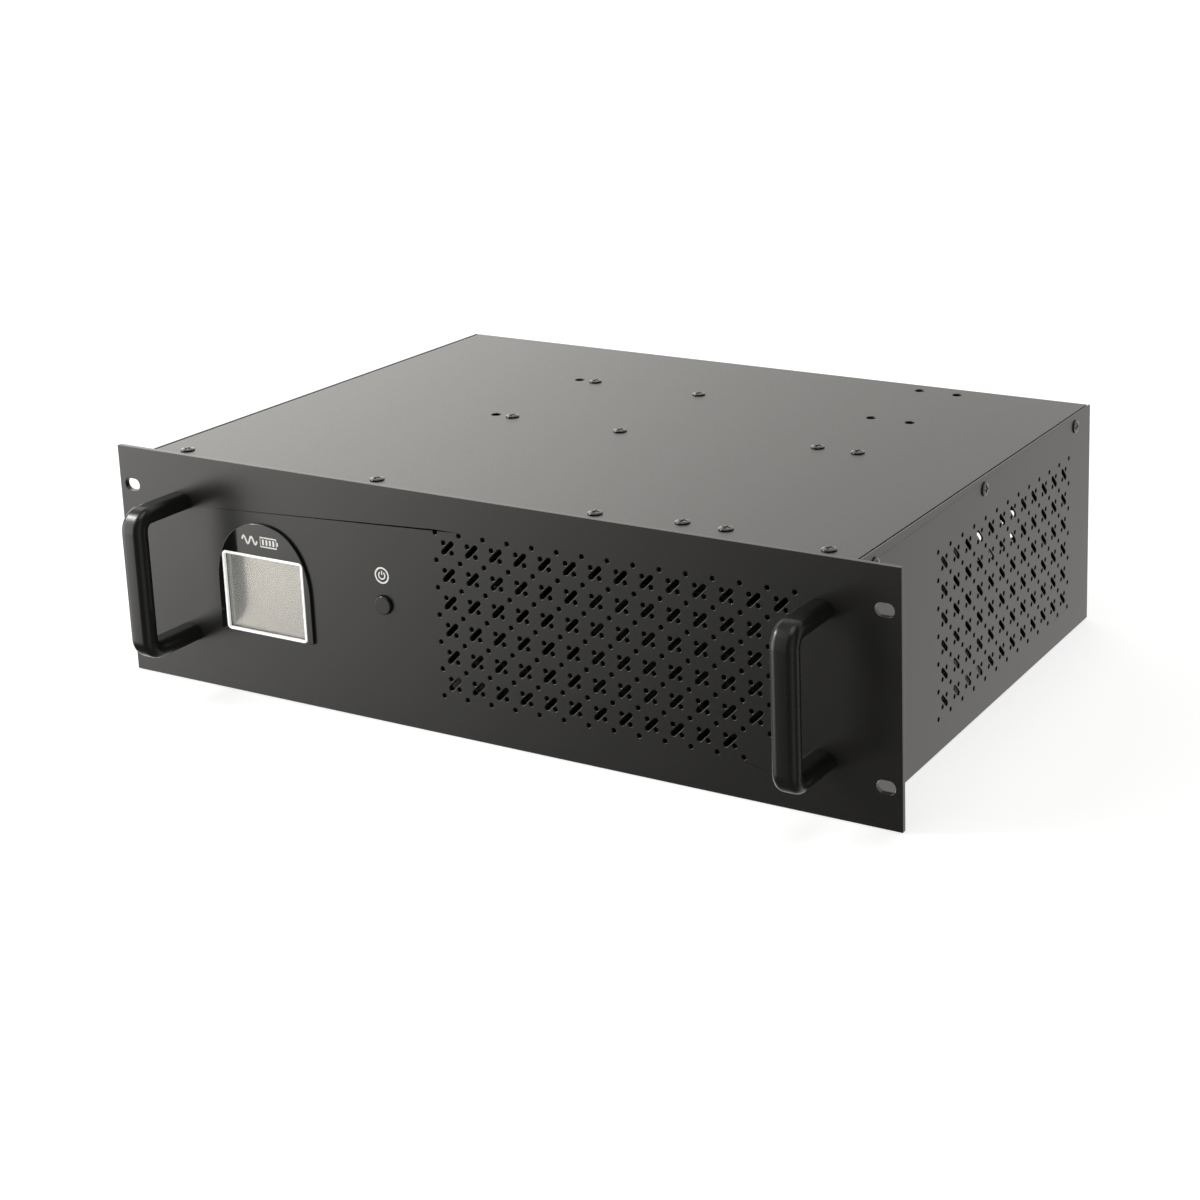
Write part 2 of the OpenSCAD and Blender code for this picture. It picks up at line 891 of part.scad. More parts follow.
module battery_rails() {
    color(zinc) for (s = [-1, 1]) {
        x = bracket_x + s * (battery_gap / 2 + battery_w + rail_gap);
        block(
            [s > 0 ? x : x - sheet, rail_y[0], floor_z],
            [s > 0 ? x + sheet : x, rail_y[1], floor_z + rail_h]
        );
        block(
            [s > 0 ? x : x - rail_foot, rail_y[0], floor_z],
            [s > 0 ? x + rail_foot : x, rail_y[1], floor_z + sheet]
        );
    }
}

core_w = 110;
core_d = 70;
core_h = 92;
core_z0 = floor_z + 1.5;
core_top = core_z0 + core_h;
brace_pad_t = 1.5;
brace_pad_w = 80;
floor_pad_inset = [8, 5];
end_pad_h = 35;

module foam_pads() {
    color(pad_grey) {
        for (x = [battery_left_x, battery_right_x]) {
            block(
                [x + floor_pad_inset[0], battery_y0 + floor_pad_inset[1], floor_z],
                [x + battery_w - floor_pad_inset[0], battery_y0 + battery_l - floor_pad_inset[1], battery_z0]
            );
        }
        for (y = [[bracket_leg_y[0] + bracket_t, battery_y0], [battery_y0 + battery_l, bracket_leg_y[1]]]) {
            block(
                [bracket_x - bracket_w / 2, y[0], bracket_leg_bottom],
                [bracket_x + bracket_w / 2, y[1], bracket_leg_bottom + end_pad_h]
            );
        }
        block(
            [transformer_x - brace_pad_w / 2, transformer_y - core_d / 2, core_top],
            [transformer_x + brace_pad_w / 2, transformer_y + core_d / 2, core_top + brace_pad_t]
        );
    }
}

// ---- Battery cables ----
cable_d = 5.5;
cable_bend = 5;
boot_z = [battery_top + 1, battery_top + 13];
boot_w = 10;
boot_t = 6;
cable_high_z = 52;
block_top_z = board_top + 10;
red_run_x = 40;
red_back_y = 243;
red_low_z = -30;
black_run_x = 30;
black_back_y = 251;
black_low_z = -38;
black_cross_y = 173;
black_cross_z = 40;
terminal_block_x = -113;

// Insulating boot over one terminal blade.
module boot(x) {
    blade_top = battery_top + terminal_h;
    difference() {
        block(
            [x - boot_w / 2, terminal_y - boot_t / 2, boot_z[0]],
            [x + boot_w / 2, terminal_y + boot_t / 2, boot_z[1]]
        );
        block(
            [x - terminal_w / 2 - touch, terminal_y - terminal_t / 2 - touch, boot_z[0] - cut],
            [x + terminal_w / 2 + touch, terminal_y + terminal_t / 2 + touch, blade_top + touch]
        );
    }
}

module battery_cable_red() {
    x = terminal_x[0];
    color(red) {
        boot(x);
        cable([
            [x, terminal_y, boot_z[1] - cut], [x, terminal_y, cable_high_z],
            [red_run_x, terminal_y, cable_high_z], [red_run_x, red_back_y, cable_high_z],
            [red_run_x, red_back_y, red_low_z], [terminal_block_x, red_back_y, red_low_z],
            [terminal_block_x, red_back_y, block_top_z]
        ], cable_d, cable_bend);
    }
}

module battery_cable_black() {
    x = terminal_x[3];
    color(gloss_black) {
        boot(x);
        cable([
            [x, terminal_y, boot_z[1] - cut], [x, terminal_y, cable_high_z],
            [x, black_cross_y, cable_high_z], [x, black_cross_y, black_cross_z],
            [black_run_x, black_cross_y, black_cross_z], [black_run_x, black_back_y, black_cross_z],
            [black_run_x, black_back_y, black_low_z], [terminal_block_x, black_back_y, black_low_z],
            [terminal_block_x, black_back_y, block_top_z]
        ], cable_d, cable_bend);
    }
}

module battery_link() {
    color(red) {
        boot(terminal_x[1]);
        boot(terminal_x[2]);
        cable([
            [terminal_x[1], terminal_y, boot_z[1] - cut], [terminal_x[1], terminal_y, cable_high_z],
            [terminal_x[2], terminal_y, cable_high_z], [terminal_x[2], terminal_y, boot_z[1] - cut]
        ], cable_d, cable_bend);
    }
}

// ---- Transformer ----
core_leg_w = 36;
core_window_w = 18.5;
core_window_h = 55;
core_z = core_z0 + core_h / 2;
core_bolt_x = 48;
core_bolt_z = 39;
core_bolt_d = 5;
core_hole_d = 5.3;
coil_w = 71.5;
coil_d = 106;
coil_h = 54;
coil_corner_r = 12;
coil_gap = 0.2;
foot_t = 1.5;
foot_depth = 112;
foot_lip_top = core_z0 + 16;
nut_flats_factor = 1 / cos(30);
core_bolt_flats = 8;
core_bolt_head_h = 3.5;
core_nut_h = 4;
core_bolt_tail = 7;
foot_nut_flats = 7;
foot_nut_h = 3.2;

module transformer_core() {
    color(core_grey) plate_xz(transformer_y - core_d / 2, core_d) difference() {
        rect_at([transformer_x, core_z], core_w, core_h);
        for (s = [-1, 1]) {
            rect_at(
                [transformer_x + s * (core_leg_w + core_window_w) / 2, core_z], core_window_w, core_window_h
            );
        }
        for (sx = [-1, 1], sz = [-1, 1]) {
            translate([transformer_x + sx * core_bolt_x, core_z + sz * core_bolt_z]) circle(d = core_hole_d);
        }
    }
}

module transformer_coil() {
    color(copper) translate([transformer_x, transformer_y, core_z - coil_h / 2]) linear_extrude(coil_h)
        difference() {
            polygon(round_rect_points(coil_w, coil_d, coil_corner_r, 5));
            square([core_leg_w + 2 * coil_gap, core_d + 2 * coil_gap], center = true);
        }
}

module transformer_feet() {
    color(zinc) difference() {
        union() {
            block(
                [transformer_x - core_w / 2, transformer_y - foot_depth / 2, floor_z],
                [transformer_x + core_w / 2, transformer_y + foot_depth / 2, core_z0]
            );
            for (s = [-1, 1]) {
                lip_y = transformer_y + s * (core_d / 2 + foot_t / 2);
                block(
                    [transformer_x - core_w / 2, lip_y - foot_t / 2, floor_z],
                    [transformer_x + core_w / 2, lip_y + foot_t / 2, foot_lip_top]
                );
            }
        }
        for (sx = [-1, 1]) {
            bar_y([transformer_x + sx * core_bolt_x, 0, core_z - core_bolt_z], core_hole_d, case_d);
            for (sy = [-1, 1]) {
                bar_z([transformer_x + sx * foot_stud_x, transformer_y + sy * foot_stud_y, floor_z - cut],
                    m4_clear_d, foot_t + 2 * cut);
            }
        }
    }
}

// Hexagon bolt along Y through the core, with its nut on the far end.
module core_bolt(x, z, grip) {
    hex_d = core_bolt_flats * nut_flats_factor;
    translate([x, transformer_y - grip / 2, z]) rotate([-90, 0, 0]) {
        translate([0, 0, -core_bolt_head_h]) cylinder(d = hex_d, h = core_bolt_head_h, $fn = 6);
        cylinder(d = core_bolt_d, h = grip + core_bolt_tail);
    }
    translate([x, transformer_y + grip / 2, z]) rotate([-90, 0, 0]) difference() {
        cylinder(d = hex_d, h = core_nut_h, $fn = 6);
        translate([0, 0, -cut]) cylinder(d = core_bolt_d + 2 * touch, h = core_nut_h + 2 * cut);
    }
}

module transformer_bolts() {
    color(zinc) for (s = [-1, 1]) {
        core_bolt(transformer_x + s * core_bolt_x, core_z + core_bolt_z, core_d);
        core_bolt(transformer_x + s * core_bolt_x, core_z - core_bolt_z, core_d + 2 * foot_t);
    }
}

module foot_nuts() {
    color(zinc) for (sx = [-1, 1], sy = [-1, 1]) {
        translate([transformer_x + sx * foot_stud_x, transformer_y + sy * foot_stud_y, core_z0])
            difference() {
                cylinder(d = foot_nut_flats * nut_flats_factor, h = foot_nut_h, $fn = 6);
                translate([0, 0, -cut]) cylinder(d = m4_tap_d, h = foot_nut_h + 2 * cut);
            }
    }
}

brace_x = [-84, 8];
brace_plate_z = core_top + brace_pad_t;
brace_flange = 17;

// Hat-shaped strap under the cover that presses on the core.
module transformer_brace() {
    web_y = core_d / 2 + 1;
    color(zinc) difference() {
        union() {
            block(
                [brace_x[0], transformer_y - web_y - sheet, brace_plate_z],
                [brace_x[1], transformer_y + web_y + sheet, brace_plate_z + sheet]
            );
            for (s = [-1, 1]) {
                web = transformer_y + s * (web_y + sheet / 2);
                block([brace_x[0], web - sheet / 2, brace_plate_z], [brace_x[1], web + sheet / 2, inner_top]);
                block(
                    [brace_x[0], s > 0 ? web : web - brace_flange, inner_top - sheet],
                    [brace_x[1], s > 0 ? web + brace_flange : web, inner_top]
                );
            }
        }
        for (x = brace_screw_x, y = brace_screw_y) {
            bar_z([x, y, inner_top - sheet - cut], m4_tap_d, sheet + 2 * cut);
        }
    }
}

// ---- Main board and its parts ----
sink_x = -200;
sink_y = [60, 150];
sink_w = 28;
sink_h = 42;
sink_base = 6;
sink_fins = 6;
fin_t = 1.8;
fin_margin = 2;
transistor_count = 4;
transistor_first_y = 72;
transistor_pitch = 22;
transistor_w = 15.8;
transistor_t = 5;
transistor_h = 21;
transistor_lift = 12;
lead_pitch = 5.4;
lead_w = 1.2;
lead_t = 0.7;
lead_offset = 2;
cap_d = 25;
cap_h = 40;
cap_x = [-192, -163];
cap_y = [182, 212];
relay_size = [16, 22, 20];
relay_y = [60, 86, 112, 190];
relay_x = -136;
fuse_x = [-150, -130];
fuse_y = [236, 248];
fuse_base = [7, 5];
fuse_inset = 2;
fuse_top = 14;
buzzer_at = [-190, 245];
buzzer_d = 12;
buzzer_h = 9;
buzzer_hole_d = 2.4;
buzzer_hole_depth = 2;

module main_board() {
    color(board_green) plate_xy(board_top - board_t, board_t) difference() {
        rect([main_board_x[0], main_board_y[0]], [main_board_x[1], main_board_y[1]]);
        for (p = main_posts) {
            translate(p) circle(d = m3_clear_d);
        }
    }
}

// Upright plate with fins to the left; the power transistors press on its right face.
module heatsinks() {
    face_x = sink_x + sink_w;
    fin_step = (sink_h - 2 * fin_margin - fin_t) / (sink_fins - 1);
    color(bare_aluminium) {
        block([face_x - sink_base, sink_y[0], board_top], [face_x, sink_y[1], board_top + sink_h]);
        for (i = [0 : sink_fins - 1]) {
            z = board_top + fin_margin + i * fin_step;
            block([sink_x, sink_y[0], z], [face_x - sink_base / 2, sink_y[1], z + fin_t]);
        }
    }
}

module power_transistors() {
    face_x = sink_x + sink_w;
    lead_x = face_x + lead_offset;
    color(component_black) for (i = [0 : transistor_count - 1]) {
        y = transistor_first_y + i * transistor_pitch;
        block(
            [face_x, y - transistor_w / 2, board_top + transistor_lift],
            [face_x + transistor_t, y + transistor_w / 2, board_top + transistor_lift + transistor_h]
        );
        for (k = [-1 : 1]) {
            block(
                [lead_x, y + k * lead_pitch - lead_w / 2, board_top],
                [lead_x + lead_t, y + k * lead_pitch + lead_w / 2, board_top + transistor_lift + 1]
            );
        }
    }
}

module capacitors() {
    color(sleeve_blue) for (x = cap_x, y = cap_y) {
        bar_z([x, y, board_top], cap_d, cap_h);
    }
}

module relays() {
    color(component_black) for (y = relay_y) {
        translate([relay_x, y, board_top]) cube(relay_size);
    }
}

module fuse_holders() {
    color(fuse_amber) for (y = fuse_y) {
        block([fuse_x[0], y, board_top], [fuse_x[1], y + fuse_base[0], board_top + fuse_base[1]]);
        block(
            [fuse_x[0] + fuse_inset, y + fuse_inset, board_top + fuse_base[1]],
            [fuse_x[1] - fuse_inset, y + fuse_base[0] - fuse_inset, board_top + fuse_top]
        );
    }
}

module buzzer() {
    color(component_black) translate([buzzer_at[0], buzzer_at[1], board_top]) difference() {
        cylinder(d = buzzer_d, h = buzzer_h);
        translate([0, 0, buzzer_h - buzzer_hole_depth])
            cylinder(d = buzzer_hole_d, h = buzzer_hole_depth + cut);
    }
}

block_half = [6, 5];
plug_x = [-114, -108];
plug_y = [64, 92, 120];
plug_l = 20;
plug_h = 9;
ribbon_w = 20;
ribbon_t = 0.8;
ribbon_x = -150;
header_w = 24;
header_y = [44, 50];
header_h = 6;
ribbon_plug_z = [-30, -22];
ribbon_plug_t = 5;
ribbon_drop = 4;

module board_connectors() {
    color(white) {
        block(
            [terminal_block_x - block_half[0], red_back_y - block_half[1], board_top],
            [terminal_block_x + block_half[0], black_back_y + block_half[1], block_top_z]
        );
        for (y = plug_y) {
            block([plug_x[0], y, board_top], [plug_x[1], y + plug_l, board_top + plug_h]);
        }
        block(
            [ribbon_x - header_w / 2, header_y[0], board_top],
            [ribbon_x + header_w / 2, header_y[1], board_top + header_h]
        );
    }
}

// Flat cable from the display board down and back to the main board.
module display_ribbon() {
    plug_back_y = board_y + board_t;
    drop_y = plug_back_y + ribbon_drop;
    run_z = board_top + header_h;
    color(ribbon_grey) {
        block(
            [ribbon_x - header_w / 2, plug_back_y, ribbon_plug_z[0]],
            [ribbon_x + header_w / 2, plug_back_y + ribbon_plug_t, ribbon_plug_z[1]]
        );
        block(
            [ribbon_x - ribbon_w / 2, drop_y, run_z],
            [ribbon_x + ribbon_w / 2, drop_y + ribbon_t, (ribbon_plug_z[0] + ribbon_plug_z[1]) / 2]
        );
        block(
            [ribbon_x - ribbon_w / 2, drop_y, run_z],
            [ribbon_x + ribbon_w / 2, header_y[1], run_z + ribbon_t]
        );
    }
}

// ---- Fan ----
fan_y0 = rear_in_y - fan_depth;
fan_corner_hole = 4.3;
strut_t = 3;
strut_w = 4;
stator_d = 37;
tube_d = 8;
bearing_bore_d = 3.1;
shaft_d = 3;
tube_y0 = fan_y0 + 9;
cup_y = [fan_y0 + 2, rear_in_y - strut_t - 1.5];
cup_d = 36;
cup_inner_d = 32;
cup_wall = 2;
blade_count = 7;
blade_r = 36;
blade_chord = 19;
blade_t = 1.6;
blade_pitch = 35;
shaft_back_gap = 3;
bearing_back_gap = 1;

// Square outline of the fan with its four corner holes.
module fan_outline() {
    difference() {
        translate([fan_x, fan_z]) polygon(round_rect_points(fan_size, fan_size, 4, 4));
        for (p = fan_screw_points) {
            translate(p) circle(d = fan_corner_hole);
        }
    }
}

// Airway with the stator plate and its struts left standing in it.
module fan_airway_past_struts() {
    translate([fan_x, fan_z]) difference() {
        circle(d = fan_bore_d);
        circle(d = stator_d);
        for (turn = [45, 135]) {
            rotate(turn) square([fan_size, strut_w], center = true);
        }
    }
}

module fan_frame() {
    strut_y = rear_in_y - strut_t;
    color(satin_black) difference() {
        union() {
            plate_xz(fan_y0, fan_depth - strut_t) difference() {
                fan_outline();
                translate([fan_x, fan_z]) circle(d = fan_bore_d);
            }
            plate_xz(strut_y, strut_t) difference() {
                fan_outline();
                fan_airway_past_struts();
            }
            bar_y([fan_x, tube_y0, fan_z], tube_d, strut_y - tube_y0 + touch);
        }
        bar_y([fan_x, tube_y0 - cut, fan_z], bearing_bore_d, rear_in_y - bearing_back_gap - tube_y0 + cut);
    }
}

module fan_rotor() {
    color(component_black) translate([fan_x, 0, fan_z]) {
        difference() {
            bar_y([0, cup_y[0], 0], cup_d, cup_y[1] - cup_y[0]);
            bar_y([0, cup_y[0] + cup_wall, 0], cup_inner_d, cup_y[1]);
        }
        bar_y([0, cup_y[0] + cup_wall / 2, 0], shaft_d, rear_in_y - shaft_back_gap - cup_y[0]);
        for (i = [0 : blade_count - 1]) {
            rotate([0, i * 360 / blade_count, 0])
                translate([0, (cup_y[0] + cup_y[1]) / 2, 0])
                    rotate([blade_pitch, 0, 0])
                        translate([cup_d / 2 - 1, -blade_t / 2, -blade_chord / 2])
                            cube([blade_r - cup_d / 2 + 1, blade_t, blade_chord]);
        }
    }
}

fan_coil_d = 28;
fan_coil_l = 9;
fan_coil_y = tube_y0 + 2;

module fan_coil() {
    color(copper) difference() {
        bar_y([fan_x, fan_coil_y, fan_z], fan_coil_d, fan_coil_l);
        bar_y([fan_x, fan_coil_y - cut, fan_z], tube_d, fan_coil_l + 2 * cut);
    }
}

guard_t = 1.6;
guard_wire = 2;
guard_rings = [24, 40, 56, 72];
guard_eye_d = 9;
fan_screw_l = 20;

module fan_guard() {
    color(zinc) plate_xz(case_d, guard_t) translate([fan_x, fan_z]) difference() {
        union() {
            for (d = guard_rings) {
                difference() {
                    circle(d = d + guard_wire);
                    circle(d = d - guard_wire);
                }
            }
            for (turn = [45, 135]) {
                rotate(turn) square([fan_hole_pitch * sqrt(2), guard_wire * 1.5], center = true);
            }
            for (sx = [-1, 1], sz = [-1, 1]) {
                translate([sx * fan_hole_pitch / 2, sz * fan_hole_pitch / 2]) circle(d = guard_eye_d);
            }
        }
        for (sx = [-1, 1], sz = [-1, 1]) {
            translate([sx * fan_hole_pitch / 2, sz * fan_hole_pitch / 2]) circle(d = m4_clear_d);
        }
    }
}

module fan_screws() {
    color(zinc) for (p = fan_screw_points) {
        translate([p[0], case_d + guard_t, p[1]]) rotate([-90, 0, 0])
            pan_screw(m4_head_d, m4_head_h, m4_shank_d, fan_screw_l);
    }
}

// ---- Mains inlet and outlets ----
socket_flange_w = 31;
socket_flange_h = 24.8;
socket_flange_t = 1.6;
socket_depth = 25;
cavity_w = 24.4;
cavity_h = 16.8;
cavity_chamfer = 4.5;
cavity_depth = 17;
island_w = 17.4;
island_h = 9.6;
contact_pitch = 7;
contact_rise = 2;
contact_w = 2;
contact_h = 4;
contact_slot_gap = 0.4;
contact_slot_y = case_d - 12;
pin_recess = 3;
island_recess = 1;

// Socket mouth: a rectangle with its two upper corners cut.
module socket_mouth(w, h, chamfer) {
    polygon([
        [-w / 2, -h / 2], [w / 2, -h / 2], [w / 2, h / 2 - chamfer],
        [w / 2 - chamfer, h / 2], [chamfer - w / 2, h / 2], [-w / 2, h / 2 - chamfer]
    ]);
}

module socket_shell(x, z) {
    difference() {
        union() {
            block_y(x, z, socket_w, socket_h, case_d - socket_depth, case_d);
            block_y(x, z, socket_flange_w, socket_flange_h, case_d, case_d + socket_flange_t);
        }
        plate_xz(case_d + socket_flange_t - cavity_depth, cavity_depth + cut)
            translate([x, z]) socket_mouth(cavity_w, cavity_h, cavity_chamfer);
    }
}

// Contact places of one socket: two outer and one raised in the middle.
contact_places = [[-contact_pitch, -contact_rise], [contact_pitch, -contact_rise], [0, contact_rise]];

module mains_inlet() {
    color(satin_black) socket_shell(inlet_x, inlet_z);
}

module inlet_pins() {
    color(zinc) for (c = contact_places) {
        block_y(
            inlet_x + c[0], inlet_z + c[1], contact_w, contact_h,
            case_d + socket_flange_t - cavity_depth, case_d + socket_flange_t - pin_recess
        );
    }
}

module outlet_sockets() {
    color(satin_black) for (x = outlet_x, z = outlet_z) {
        difference() {
            union() {
                socket_shell(x, z);
                block_y(
                    x, z, island_w, island_h,
                    case_d - cavity_depth, case_d + socket_flange_t - island_recess
                );
            }
            for (c = contact_places) {
                block_y(
                    x + c[0], z + c[1], contact_w + contact_slot_gap, contact_h + contact_slot_gap,
                    contact_slot_y, case_d + socket_flange_t + cut
                );
            }
        }
    }
}

// ---- Breaker ----
breaker_size = 15;
breaker_depth = 30;
breaker_button_d = 7.6;
breaker_bore_d = 7.7;
breaker_bore_l = 17;
breaker_nut_flats = 15;
breaker_nut_t = 2;
breaker_sleeve_l = 5;
breaker_mouth_y = case_d + breaker_sleeve_l;
breaker_floor_gap = 2;
breaker_button_proud = 2;

module breaker_body() {
    color(gloss_black) difference() {
        union() {
            block_y(
                breaker_x, breaker_z, breaker_size, breaker_size, rear_in_y - breaker_depth, rear_in_y
            );
            bar_y(
                [breaker_x, rear_in_y - cut, breaker_z], breaker_thread_d, breaker_mouth_y - rear_in_y + cut
            );
            translate([breaker_x, case_d, breaker_z]) rotate([-90, 0, 0])
                cylinder(d = breaker_nut_flats * nut_flats_factor, h = breaker_nut_t, $fn = 6);
        }
        bar_y(
            [breaker_x, case_d - breaker_bore_l, breaker_z],
            breaker_bore_d, breaker_bore_l + breaker_sleeve_l + cut
        );
    }
}

module breaker_button() {
    inner_y = case_d - breaker_bore_l + breaker_floor_gap;
    outer_y = breaker_mouth_y + breaker_button_proud;
    color(red) bar_y([breaker_x, inner_y, breaker_z], breaker_button_d, outer_y - inner_y);
}

// ---- Mains wiring: a trunk along the sockets, with a drop behind each column ----
harness_x = [-122, 95];
harness_y = 264;
harness_z = 8;
harness_d = 8;
harness_bend_r = 10;
wire_d = 4;
drop_y = case_d - socket_depth - wire_d / 2 - 1;

// Branch from the trunk to a drop between two heights.
module wire_drop(x, z0, z1) {
    bar_y([x, harness_y, harness_z], wire_d, case_d - socket_depth - harness_y);
    bar_z([x, drop_y, z0], wire_d, z1 - z0);
}

module outlet_wiring() {
    color(wire_grey) {
        cable([
            [harness_x[0], harness_y, board_top], [harness_x[0], harness_y, harness_z],
            [harness_x[1], harness_y, harness_z]
        ], harness_d, harness_bend_r);
        wire_drop(inlet_x, breaker_z + breaker_size / 2, inlet_z);
        for (x = outlet_x) {
            wire_drop(x, outlet_z[0], outlet_z[1]);
        }
    }
}

// ---- Signal ports and ground stud ----
port_depth = 18;
port_back_t = 6;
port_proud = 0.8;

// Jack shell with an open mouth and a contact tongue.
module port(x, w, h, wall, tongue_w) {
    z = port_board_top + h / 2;
    back_y = case_d - port_depth;
    difference() {
        block_y(x, z, w, h, back_y, case_d + port_proud);
        block_y(x, z, w - 2 * wall, h - 2 * wall, back_y + port_back_t, case_d + port_proud + cut);
    }
    block_y(x, z, tongue_w, wall, back_y + port_back_t - cut, case_d - cut);
}

module signal_ports() {
    color(shell_metal) {
        for (x = jack_x) {
            port(x, jack_w, jack_h, 1.4, 8);
        }
        port(usb_x, usb_w, usb_h, 1, 6);
        port(serial_x, serial_w, serial_h, 1.6, 17);
    }
}

stud_y = [case_d - 10, case_d + 14];
ground_nut_flats = 8;
ground_nut_h = 4;

module ground_stud() {
    color(brass) {
        bar_y([ground_x, stud_y[0], ground_z], m5_d, stud_y[1] - stud_y[0]);
        for (y = [rear_in_y - ground_nut_h, case_d]) {
            translate([ground_x, y, ground_z]) rotate([-90, 0, 0])
                cylinder(d = ground_nut_flats * nut_flats_factor, h = ground_nut_h, $fn = 6);
        }
    }
}

// ---- What is drawn ----
front_panel();
left_handle();
right_handle();
handle_screws();
display_bezel();
window_frame();
display_window();
lcd_module();
display_board();
power_button();
button_switch();
front_frame();
base_pan();
left_side_panel();
right_side_panel();
top_cover();
rear_panel();
top_screws();
side_screws();
rear_screws();
small_screws();
standoffs();
battery_left();
battery_right();
battery_terminals();
front_bracket();
rear_bracket();
battery_rails();
foam_pads();
battery_cable_red();
battery_cable_black();
battery_link();
transformer_core();
transformer_coil();
transformer_feet();
transformer_bolts();
foot_nuts();
transformer_brace();
main_board();
heatsinks();
power_transistors();
capacitors();
relays();
fuse_holders();
buzzer();
board_connectors();
display_ribbon();
fan_frame();
fan_rotor();
fan_coil();
fan_guard();
fan_screws();
mains_inlet();
inlet_pins();
outlet_sockets();
outlet_wiring();
breaker_body();
breaker_button();
signal_ports();
ground_stud();
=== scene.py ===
"""Looks of a rack-mount uninterruptible power supply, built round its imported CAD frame. Lengths in metres."""

import json
import math
import random

import bmesh
import bpy
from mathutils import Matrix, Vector


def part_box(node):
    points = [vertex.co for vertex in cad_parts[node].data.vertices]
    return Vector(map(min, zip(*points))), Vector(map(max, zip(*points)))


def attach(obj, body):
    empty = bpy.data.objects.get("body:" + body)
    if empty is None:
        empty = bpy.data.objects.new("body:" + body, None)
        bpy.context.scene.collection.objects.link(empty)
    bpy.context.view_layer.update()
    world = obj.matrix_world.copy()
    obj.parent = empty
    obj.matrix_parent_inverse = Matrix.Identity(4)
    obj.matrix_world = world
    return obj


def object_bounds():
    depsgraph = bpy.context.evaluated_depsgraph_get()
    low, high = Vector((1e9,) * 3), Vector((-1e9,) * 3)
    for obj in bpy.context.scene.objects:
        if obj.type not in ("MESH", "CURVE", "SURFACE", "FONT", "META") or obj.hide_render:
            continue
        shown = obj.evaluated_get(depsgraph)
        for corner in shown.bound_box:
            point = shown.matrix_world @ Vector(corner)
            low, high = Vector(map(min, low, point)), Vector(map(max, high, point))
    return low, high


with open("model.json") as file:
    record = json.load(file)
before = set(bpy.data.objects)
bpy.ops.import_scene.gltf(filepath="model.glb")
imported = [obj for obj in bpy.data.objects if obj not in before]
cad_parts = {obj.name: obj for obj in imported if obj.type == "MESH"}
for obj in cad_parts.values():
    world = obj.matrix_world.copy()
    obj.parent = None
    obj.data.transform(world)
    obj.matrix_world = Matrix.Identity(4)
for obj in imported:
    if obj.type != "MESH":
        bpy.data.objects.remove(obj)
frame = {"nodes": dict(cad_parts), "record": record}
cad_low, cad_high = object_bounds()

MM = 0.001
random.seed(11)

# ---- Materials ----


def new_material(name):
    """An empty node material with its output and main shader joined."""
    material = bpy.data.materials.new(name)
    material.use_nodes = True
    nodes = material.node_tree.nodes
    nodes.clear()
    output = nodes.new("ShaderNodeOutputMaterial")
    shader = nodes.new("ShaderNodeBsdfPrincipled")
    material.node_tree.links.new(shader.outputs["BSDF"], output.inputs["Surface"])
    return material, nodes, material.node_tree.links, shader


def noise(nodes, links, vector, scale, detail=3.0, roughness=0.5):
    """A noise texture read at a vector output."""
    texture = nodes.new("ShaderNodeTexNoise")
    texture.inputs["Scale"].default_value = scale
    texture.inputs["Detail"].default_value = detail
    texture.inputs["Roughness"].default_value = roughness
    links.new(vector, texture.inputs["Vector"])
    return texture.outputs["Fac"]


def spread(nodes, links, value, low, high):
    """Maps the middle half of a noise onto low to high."""
    mapping = nodes.new("ShaderNodeMapRange")
    mapping.inputs["From Min"].default_value = 0.25
    mapping.inputs["From Max"].default_value = 0.75
    mapping.inputs["To Min"].default_value = low
    mapping.inputs["To Max"].default_value = high
    links.new(value, mapping.inputs["Value"])
    return mapping.outputs["Result"]


def surface(
    name,
    color,
    roughness=0.4,
    metallic=0.0,
    ior=1.5,
    tint=0.10,
    patch=30.0,
    grain=1500.0,
    bump=0.05,
    depth=0.0001,
    rough_spread=0.05,
    coat=0.0,
    glow=0.0,
    stretch=(1, 1, 1),
):
    """A solid surface: patchy colour, uneven roughness and a fine bump, all from noise in object space."""
    material, nodes, links, shader = new_material(name)
    coords = nodes.new("ShaderNodeTexCoord")
    scaled = nodes.new("ShaderNodeMapping")
    scaled.inputs["Scale"].default_value = stretch
    links.new(coords.outputs["Object"], scaled.inputs["Vector"])
    vector = scaled.outputs["Vector"]

    patches = noise(nodes, links, vector, patch)
    mix = nodes.new("ShaderNodeMix")
    mix.data_type = "RGBA"
    darker = [c * (1 - tint) for c in color]
    lighter = [min(1, c * (1 + tint)) for c in color]
    mix.inputs["A"].default_value = (*darker, 1)
    mix.inputs["B"].default_value = (*lighter, 1)
    links.new(spread(nodes, links, patches, 0, 1), mix.inputs["Factor"])
    links.new(mix.outputs["Result"], shader.inputs["Base Color"])

    grains = noise(nodes, links, vector, grain, 2.0)
    low = max(0.02, roughness - rough_spread)
    links.new(
        spread(nodes, links, grains, low, roughness + rough_spread),
        shader.inputs["Roughness"],
    )
    relief = nodes.new("ShaderNodeBump")
    relief.inputs["Strength"].default_value = bump
    relief.inputs["Distance"].default_value = depth
    links.new(grains, relief.inputs["Height"])
    links.new(relief.outputs["Normal"], shader.inputs["Normal"])

    shader.inputs["Metallic"].default_value = metallic
    shader.inputs["IOR"].default_value = ior
    shader.inputs["Coat Weight"].default_value = coat
    shader.inputs["Coat Roughness"].default_value = 0.05
    shader.inputs["Emission Color"].default_value = (1, 1, 1, 1)
    shader.inputs["Emission Strength"].default_value = glow
    return material


